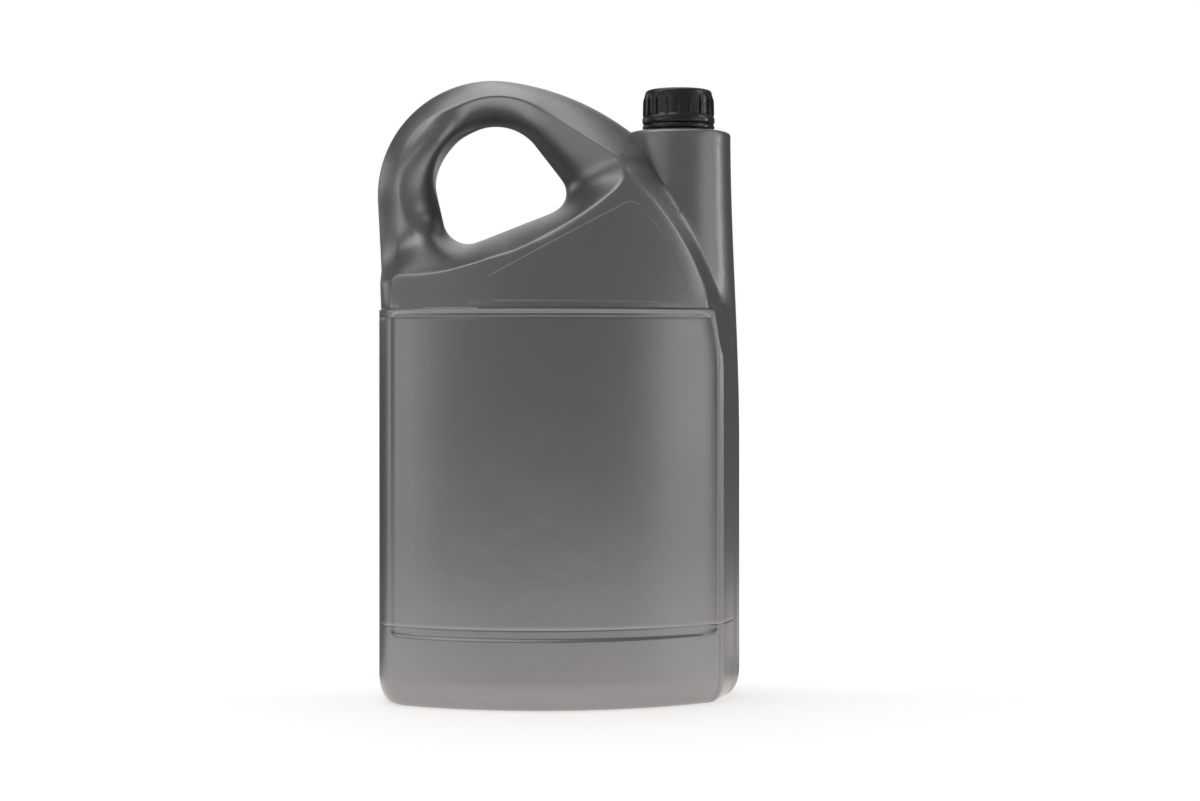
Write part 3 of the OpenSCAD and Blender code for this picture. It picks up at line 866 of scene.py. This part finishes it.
def cap_rib():
    """One grip rib, standing on the neck's axis at the origin: full below, fading into the cap's top edge."""
    rows = ((298.8, 18.5, 0.62), (299.6, 18.78, 0.6), (303, 18.74, 0.56), (306.6, 18.66, 0.52),
            (307.6, 18.45, 0.5), (308.8, 18.05, 0.48), (310.4, 17.55, 0.44), (311.6, 16.9, 0.4))
    loops = []
    for z, r, half in rows:
        flank = [(rib_root, half * 1.2), (r - 0.3, half), (r - 0.06, half * 0.6)]
        section = [(q, -y) for q, y in flank] + [(r, 0)] + flank[::-1]
        loops.append(np.array([(q, y, z) for q, y in section]))
    return skinned("cap_rib", loops, False)


def cap_body():
    """The cap without its ribs: band at the foot, plain skirt, rounded top, and the thread inside."""
    top = cap_top_z
    outline = rounded_outline([
        (cap_bore_r + 0.25, cap_z), (cap_r + 0.25, cap_z, 0.25), (cap_r + 0.72, cap_z + 0.9, 0.6),
        (cap_r + 0.72, cap_z + 3.0, 0.8), (cap_r + 0.1, cap_z + 4.3, 0.5), (cap_r - 0.28, cap_z + 4.9, 0.3),
        (cap_r - 0.45, top - 3.4, 1.2), (cap_r - 0.95, top - 0.95, 0.9), (cap_r - 2.3, top - 0.12, 0.9),
        (cap_r - 6, top), (0, top - 0.05), (0, top - cap_top), (cap_bore_r, top - cap_top, 0.5),
        (cap_bore_r, cap_z + 0.4, 0.2)], 5)
    body = revolved("screw_cap_moulding", outline, CAP_SIDES)
    return combine(body, "UNION", helix("cap_thread", cap_bore_r, cap_thread_r, cap_thread_z))


def ring_body():
    """The tamper ring without its nubs: a band with a lip that catches under the neck's bead."""
    r, lip_r = ring_r + 0.15, neck_r + ring_clear
    band_r = neck_r + bead_out + ring_clear
    top, lip_top = ring_z + ring_h, ring_z + ring_lip_h
    return revolved("tamper_band", rounded_outline([
        (lip_r, ring_z, 0.1), (r - 0.35, ring_z, 0.3), (r + 0.12, ring_z + ring_h / 2, 0.8),
        (r - 0.35, top, 0.3), (band_r, top, 0.1), (band_r, lip_top), (lip_r, lip_top, 0.1)]), CAP_SIDES)


def break_nub():
    """One break nub, standing on the neck's axis at the origin: it thins out towards the cap."""
    half = nub_w / 2
    loops = [np.array([(r0, -half * k, z), (r1, -half * k, z), (r1, half * k, z), (r0, half * k, z)])
             for z, r0, r1, k in ((ring_z + ring_h - 0.5, ring_r - 1.0, ring_r - 0.1, 1.2),
                                  (ring_z + ring_h, ring_r - 0.9, ring_r - 0.2, 1.0),
                                  (cap_z - 0.06, ring_r - 0.7, ring_r - 0.35, 0.55))]
    return skinned("break_nub", loops, False)


# Materials

def effect(name, inputs, outputs):
    """An empty shader node group with named sockets."""
    tree = bpy.data.node_groups.new(name, "ShaderNodeTree")
    for label, kind, value in inputs:
        socket = tree.interface.new_socket(label, in_out="INPUT", socket_type=kind)
        if value is not None:
            socket.default_value = value
    for label in outputs:
        tree.interface.new_socket(label, in_out="OUTPUT", socket_type="NodeSocketFloat")
    return tree, tree.nodes.new("NodeGroupInput"), tree.nodes.new("NodeGroupOutput")


def feed(tree, socket, value):
    """Link another socket to this one, or set it to a number or a colour."""
    if isinstance(value, bpy.types.NodeSocket):
        tree.links.new(value, socket)
    elif isinstance(value, tuple):
        socket.default_value = (*value, 1)
    else:
        socket.default_value = value


def math_node(tree, how, a, b=None, c=None):
    """A Math node fed with numbers or sockets."""
    node = tree.nodes.new("ShaderNodeMath")
    node.operation = how
    for socket, value in zip(node.inputs, (a, b, c)):
        if value is not None:
            feed(tree, socket, value)
    return node.outputs[0]


def noise(tree, vector, scale, detail, roughness=0.5):
    """A Noise Texture fed with numbers or sockets."""
    node = tree.nodes.new("ShaderNodeTexNoise")
    for label, value in (("Vector", vector), ("Scale", scale), ("Detail", detail), ("Roughness", roughness)):
        feed(tree, node.inputs[label], value)
    return node.outputs["Fac"]


def ranged(tree, value, low, high, to_low, to_high, kind="LINEAR"):
    """A Map Range node fed with numbers or sockets."""
    node = tree.nodes.new("ShaderNodeMapRange")
    node.interpolation_type = kind
    labels = ("Value", "From Min", "From Max", "To Min", "To Max")
    for label, given in zip(labels, (value, low, high, to_low, to_high)):
        feed(tree, node.inputs[label], given)
    return node.outputs["Result"]


def moulded_grain():
    """Fine orange peel and slow drift of a moulded plastic skin."""
    inputs = (("Position", "NodeSocketVector", None), ("Grain Scale", "NodeSocketFloat", 900.0),
              ("Drift Scale", "NodeSocketFloat", 14.0))
    tree, given, made = effect("moulded_grain", inputs, ("Height", "Drift"))
    peel = noise(tree, given.outputs["Position"], given.outputs["Grain Scale"], 2.0)
    tree.links.new(peel, made.inputs["Height"])
    drift = noise(tree, given.outputs["Position"], given.outputs["Drift Scale"], 4.0, 0.55)
    tree.links.new(ranged(tree, drift, 0.3, 0.7, 0.0, 1.0), made.inputs["Drift"])
    return tree


def rub_marks():
    """Short thin rub marks, all along one way."""
    inputs = (("Position", "NodeSocketVector", None), ("Stretch", "NodeSocketVector", (1, 1, 1)),
              ("Cover", "NodeSocketFloat", 0.6))
    tree, given, made = effect("rub_marks", inputs, ("Mark",))
    scaled = tree.nodes.new("ShaderNodeVectorMath")
    scaled.operation = "MULTIPLY"
    tree.links.new(given.outputs["Position"], scaled.inputs[0])
    tree.links.new(given.outputs["Stretch"], scaled.inputs[1])
    fine = noise(tree, scaled.outputs[0], 1.0, 5.0, 0.65)
    border = 0.09
    over = math_node(tree, "ADD", given.outputs["Cover"], border)
    tree.links.new(ranged(tree, fine, given.outputs["Cover"], over, 0.0, 1.0), made.inputs["Mark"])
    return tree


GRAIN, RUBS = moulded_grain(), rub_marks()
GREY_DARK, GREY_LIGHT, GREY_RUBBED = (0.198, 0.199, 0.205), (0.214, 0.215, 0.220), (0.42, 0.41, 0.39)
BLACK_DARK, BLACK_LIGHT = (0.0085, 0.0085, 0.009), (0.0125, 0.0125, 0.013)
BLACK_RUBBED = (0.035, 0.035, 0.036)
FOAM_DARK, FOAM_LIGHT = (0.80, 0.79, 0.75), (0.86, 0.85, 0.81)


def material(name, roughness, metallic):
    """A material with its node tree, its shader and the place on the piece."""
    mat = bpy.data.materials.new(name)
    mat.use_nodes = True
    tree = mat.node_tree
    shader = tree.nodes["Principled BSDF"]
    shader.inputs["Roughness"].default_value = roughness
    shader.inputs["Metallic"].default_value = metallic
    where = tree.nodes.new("ShaderNodeTexCoord")
    return mat, tree, shader, where.outputs["Object"]


def placed(tree, group, position, **values):
    """A shared effect placed in a material, with its own values."""
    node = tree.nodes.new("ShaderNodeGroup")
    node.node_tree = group
    tree.links.new(position, node.inputs["Position"])
    for label, value in values.items():
        node.inputs[label.replace("_", " ")].default_value = value
    return node


def blended(tree, factor, a, b):
    """A mix of two colours, each given as numbers or as a socket."""
    node = tree.nodes.new("ShaderNodeMix")
    node.data_type = "RGBA"
    for label, value in (("Factor", factor), ("A", a), ("B", b)):
        feed(tree, node.inputs[label], value)
    return node.outputs["Result"]


def bumped(tree, shader, height, distance, strength):
    """Feed a height to the shader's normal."""
    node = tree.nodes.new("ShaderNodeBump")
    node.inputs["Distance"].default_value = distance
    node.inputs["Strength"].default_value = strength
    tree.links.new(height, node.inputs["Height"])
    tree.links.new(node.outputs["Normal"], shader.inputs["Normal"])


def near_box(tree, position, low, high, soft):
    """One inside a box, in metres, falling to nothing over a soft border."""
    parts = tree.nodes.new("ShaderNodeSeparateXYZ")
    tree.links.new(position, parts.inputs[0])
    total = None
    for k in range(3):
        if low[k] is None:
            continue
        up = ranged(tree, parts.outputs[k], low[k] - soft, low[k], 0.0, 1.0, "SMOOTHSTEP")
        down = ranged(tree, parts.outputs[k], high[k], high[k] + soft, 1.0, 0.0, "SMOOTHSTEP")
        both = math_node(tree, "MULTIPLY", up, down)
        total = both if total is None else math_node(tree, "MULTIPLY", total, both)
    return total


def jug_plastic():
    """Silver-grey polyethylene: slow drift of tone, rub marks under the hand hole and on the heel."""
    mat, tree, shader, where = material("jug_silver_grey", 0.34, 0.75)
    grain = placed(tree, GRAIN, where, Grain_Scale=700.0, Drift_Scale=16.0)
    waves = placed(tree, GRAIN, where, Grain_Scale=85.0, Drift_Scale=5.0)
    hand = placed(tree, RUBS, where, Stretch=(150, 150, 600), Cover=0.56)
    heel = placed(tree, RUBS, where, Stretch=(90, 90, 420), Cover=0.66)
    grip = near_box(tree, where, (-0.054, None, 0.233), (-0.010, None, 0.246), 0.007)
    foot = near_box(tree, where, (None, None, -0.01), (None, None, 0.010), 0.016)
    marks = math_node(tree, "MAXIMUM", math_node(tree, "MULTIPLY", hand.outputs["Mark"], grip),
                      math_node(tree, "MULTIPLY", heel.outputs["Mark"], foot))
    tone = blended(tree, grain.outputs["Drift"], GREY_DARK, GREY_LIGHT)
    worn = math_node(tree, "MULTIPLY", marks, 0.38)
    tree.links.new(blended(tree, worn, tone, GREY_RUBBED), shader.inputs["Base Color"])
    rough = ranged(tree, waves.outputs["Drift"], 0.0, 1.0, 0.325, 0.365)
    tree.links.new(math_node(tree, "MULTIPLY_ADD", marks, 0.14, rough), shader.inputs["Roughness"])
    across = tree.nodes.new("ShaderNodeSeparateXYZ")
    tree.links.new(where, across.inputs[0])
    aside = math_node(tree, "ABSOLUTE", across.outputs["Y"])
    seam = ranged(tree, aside, 0.0, 0.0006, 1.0, 0.0, "SMOOTHSTEP")
    peel = math_node(tree, "MULTIPLY", grain.outputs["Height"], 0.14)
    height = math_node(tree, "MULTIPLY_ADD", waves.outputs["Height"], 1.2, peel)
    bumped(tree, shader, math_node(tree, "MULTIPLY_ADD", seam, 0.9, height), 0.0003, 0.35)
    return mat


def cap_plastic():
    """Black polypropylene: dense and fairly glossy, a little dulled where fingers turn it."""
    mat, tree, shader, where = material("cap_black", 0.24, 0.0)
    grain = placed(tree, GRAIN, where, Grain_Scale=1500.0, Drift_Scale=60.0)
    rubs = placed(tree, RUBS, where, Stretch=(500, 500, 160), Cover=0.6)
    tone = blended(tree, grain.outputs["Drift"], BLACK_DARK, BLACK_LIGHT)
    worn = math_node(tree, "MULTIPLY", rubs.outputs["Mark"], 0.35)
    tree.links.new(blended(tree, worn, tone, BLACK_RUBBED), shader.inputs["Base Color"])
    rough = ranged(tree, grain.outputs["Drift"], 0.0, 1.0, 0.2, 0.3)
    rough = math_node(tree, "MULTIPLY_ADD", rubs.outputs["Mark"], 0.12, rough)
    tree.links.new(rough, shader.inputs["Roughness"])
    bumped(tree, shader, grain.outputs["Height"], 0.0001, 0.3)
    return mat


def liner_foam():
    """Pale closed-cell foam of the sealing wad."""
    mat, tree, shader, where = material("liner_pale_foam", 0.85, 0.0)
    grain = placed(tree, GRAIN, where, Grain_Scale=2400.0, Drift_Scale=120.0)
    cells = tree.nodes.new("ShaderNodeTexVoronoi")
    cells.inputs["Scale"].default_value = 1800
    tree.links.new(where, cells.inputs["Vector"])
    tone = blended(tree, grain.outputs["Drift"], FOAM_DARK, FOAM_LIGHT)
    tree.links.new(tone, shader.inputs["Base Color"])
    tree.links.new(ranged(tree, grain.outputs["Drift"], 0.0, 1.0, 0.78, 0.92), shader.inputs["Roughness"])
    height = math_node(tree, "ADD", cells.outputs["Distance"], grain.outputs["Height"])
    bumped(tree, shader, height, 0.0002, 0.4)
    return mat


jug_mat, cap_mat, foam_mat = jug_plastic(), cap_plastic(), liner_foam()


def finished(obj, mat, body, node=None):
    """Give a piece its material and body, and hide the node that it replaces."""
    obj.data.materials.clear()
    obj.data.materials.append(mat)
    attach(obj, body)
    if node:
        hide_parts(node)


skin = jug_skin()
finished(skin, jug_mat, "jug", "jug_body")
lines = label_lines()
shade(lines, 60)
finished(lines, jug_mat, "jug")

RING_TREE = ring_of("pieces_round_the_neck")
cap = with_ring(cap_body(), RING_TREE, cap_rib(), rib_count, math.radians(8), cap_mat)
shade(cap, 34)
finished(cap, cap_mat, "cap", "screw_cap")
band = with_ring(ring_body(), RING_TREE, break_nub(), nub_count, math.radians(15), cap_mat)
shade(band, 34)
finished(band, cap_mat, "jug", "tamper_ring")

wad = bpy.data.objects["cap_liner"]
wad.data.materials.clear()
wad.data.materials.append(foam_mat)

# Studio

WHITE, WARM_WHITE = (1, 1, 1), (1, 0.95, 0.89)
PAPER_DARK, PAPER_LIGHT, FLOOR_BEHIND = (0.60, 0.585, 0.565), (0.63, 0.615, 0.595), (0.2, 0.2, 0.2)
ROOM_FILL, ROOM_BEHIND, ROOM_FRONT = (0.25, 0.25, 0.26), (0.12, 0.12, 0.13), (0.38, 0.38, 0.40)
FLOOR_HALF = 6


def area(name, place, aim, size, glow):
    """A soft box that glows so strongly all over its face."""
    data = bpy.data.lights.new(name, "AREA")
    data.shape = "RECTANGLE"
    data.size, data.size_y = size
    data.energy = glow * math.pi * size[0] * size[1]
    lamp = bpy.data.objects.new(name, data)
    lamp.location = place
    lamp.visible_camera = False
    way = Vector(aim) - Vector(place)
    lamp.rotation_euler = way.to_track_quat("-Z", "Y").to_euler()
    bpy.context.scene.collection.objects.link(lamp)


area("left_box", (-1.42, -0.5, 0.26), (0, 0, 0.26), (1.3, 0.52), 1.12)
area("left_high", (-1.05, -0.12, 1.2), (0, 0, 0.25), (0.9, 0.6), 1.3)
area("left_front", (-0.86, -1.23, 0.6), (0, 0, 0.27), (0.6, 0.3), 0.9)
area("left_back", (-1.25, 0.85, 0.5), (0, 0, 0.25), (0.9, 0.42), 0.9)
area("right_box", (1.33, -0.69, 0.2), (0, 0, 0.2), (0.9, 0.48), 1.45)
area("right_strip", (1.5, 0.16, 0.27), (0, 0, 0.25), (0.13, 0.5), 10)
area("right_high", (1.38, -0.2, 0.95), (0, 0, 0.25), (0.5, 0.55), 2.4)
area("right_back_high", (0.95, 0.6, 1.2), (0, 0, 0.25), (0.8, 0.8), 0.4)
area("top_box", (-0.24, 0.1, 1.55), (-0.1, 0.02, 0.2), (1.9, 1.0), 1.75)


def ray_kind(tree):
    """Masks for rays from the camera, and for rays seen in gloss or through glass."""
    path = tree.nodes.new("ShaderNodeLightPath")
    seen = math_node(tree, "MAXIMUM", path.outputs["Is Glossy Ray"], path.outputs["Is Transmission Ray"])
    return path.outputs["Is Camera Ray"], seen


def studio_floor():
    """White to the camera and warm white in reflections, and still lit, so that it keeps the jug's shadow."""
    mat = bpy.data.materials.new("studio_floor")
    mat.use_nodes = True
    tree = mat.node_tree
    matte = tree.nodes["Principled BSDF"]
    matte.inputs["Roughness"].default_value = 1
    matte.inputs["Specular IOR Level"].default_value = 0
    where = tree.nodes.new("ShaderNodeTexCoord")
    ahead = tree.nodes.new("ShaderNodeSeparateXYZ")
    tree.links.new(where.outputs["Object"], ahead.inputs[0])
    front = ranged(tree, ahead.outputs["Y"], -0.03, 0.08, 1.0, 0.0, "SMOOTHSTEP")
    cloud = noise(tree, where.outputs["Object"], 3.0, 3.0)
    paper = blended(tree, cloud, PAPER_DARK, PAPER_LIGHT)
    # Painted shade: behind the jug the floor is dark grey, so that it looks dark in the jug's reflections and
    # throws back little light; the camera still sees it white.
    tree.links.new(blended(tree, front, FLOOR_BEHIND, paper), matte.inputs["Base Color"])
    far = tree.nodes.new("ShaderNodeVectorMath")
    far.operation = "LENGTH"
    tree.links.new(where.outputs["Object"], far.inputs[0])
    camera_ray, seen = ray_kind(tree)
    white = ranged(tree, far.outputs["Value"], 0.25, 1.1, 0.98, 1.1)
    lit_already = ranged(tree, far.outputs["Value"], 0.4, 1.0, 0.4, 0.0)
    white = math_node(tree, "SUBTRACT", white, math_node(tree, "MULTIPLY", front, lit_already))
    shown = math_node(tree, "MULTIPLY", camera_ray, white)
    # Painted reflection: seen only in gloss, the floor glows warm white, up to one and a half near the jug,
    # in front of it and to its right.
    near = ranged(tree, far.outputs["Value"], 0.22, 0.8, 1.5, 0.12, "SMOOTHSTEP")
    right = ranged(tree, ahead.outputs["X"], 0.1, 0.22, 0.08, 0.72, "SMOOTHSTEP")
    bright = math_node(tree, "MULTIPLY", near, math_node(tree, "MAXIMUM", front, right))
    mirrored = math_node(tree, "MULTIPLY", seen, bright)
    surface = matte.outputs[0]
    for strength, colour in ((shown, (*WHITE, 1)), (mirrored, (*WARM_WHITE, 1))):
        glow, add = tree.nodes.new("ShaderNodeEmission"), tree.nodes.new("ShaderNodeAddShader")
        glow.inputs["Color"].default_value = colour
        tree.links.new(strength, glow.inputs["Strength"])
        tree.links.new(surface, add.inputs[0])
        tree.links.new(glow.outputs[0], add.inputs[1])
        surface = add.outputs[0]
    tree.links.new(surface, tree.nodes["Material Output"].inputs["Surface"])
    return mat


def studio_room():
    """White to the camera, white behind the jug and grey in front in reflections, a low grey for the rest."""
    world = bpy.data.worlds.new("studio")
    bpy.context.scene.world = world
    world.use_nodes = True
    tree = world.node_tree
    camera_ray, seen = ray_kind(tree)
    way, parts = tree.nodes.new("ShaderNodeTexCoord"), tree.nodes.new("ShaderNodeSeparateXYZ")
    tree.links.new(way.outputs["Generated"], parts.inputs[0])
    aside = ranged(tree, math_node(tree, "ABSOLUTE", parts.outputs["X"]), 0.1, 0.36, 1.0, 0.0, "SMOOTHSTEP")
    beyond = ranged(tree, parts.outputs["Y"], 0.4, 0.8, 0.0, 1.0, "SMOOTHSTEP")
    behind = math_node(tree, "MULTIPLY", aside, beyond)
    front = ranged(tree, parts.outputs["Y"], -0.1, 0.3, 1.0, 0.0, "SMOOTHSTEP")
    mirrored = blended(tree, behind, blended(tree, front, ROOM_BEHIND, ROOM_FRONT), WHITE)
    shell = blended(tree, seen, ROOM_FILL, mirrored)
    tree.links.new(blended(tree, camera_ray, shell, WHITE), tree.nodes["Background"].inputs["Color"])


floor_mesh = bpy.data.meshes.new("floor")
floor_corners = [(x * FLOOR_HALF, y * FLOOR_HALF, 0) for x, y in ((-1, -1), (1, -1), (1, 1), (-1, 1))]
floor_mesh.from_pydata(floor_corners, [], [(0, 1, 2, 3)])
floor = link("floor", floor_mesh)
floor_mesh.materials.append(studio_floor())
studio_room()
bpy.context.scene.view_settings.view_transform = "Standard"
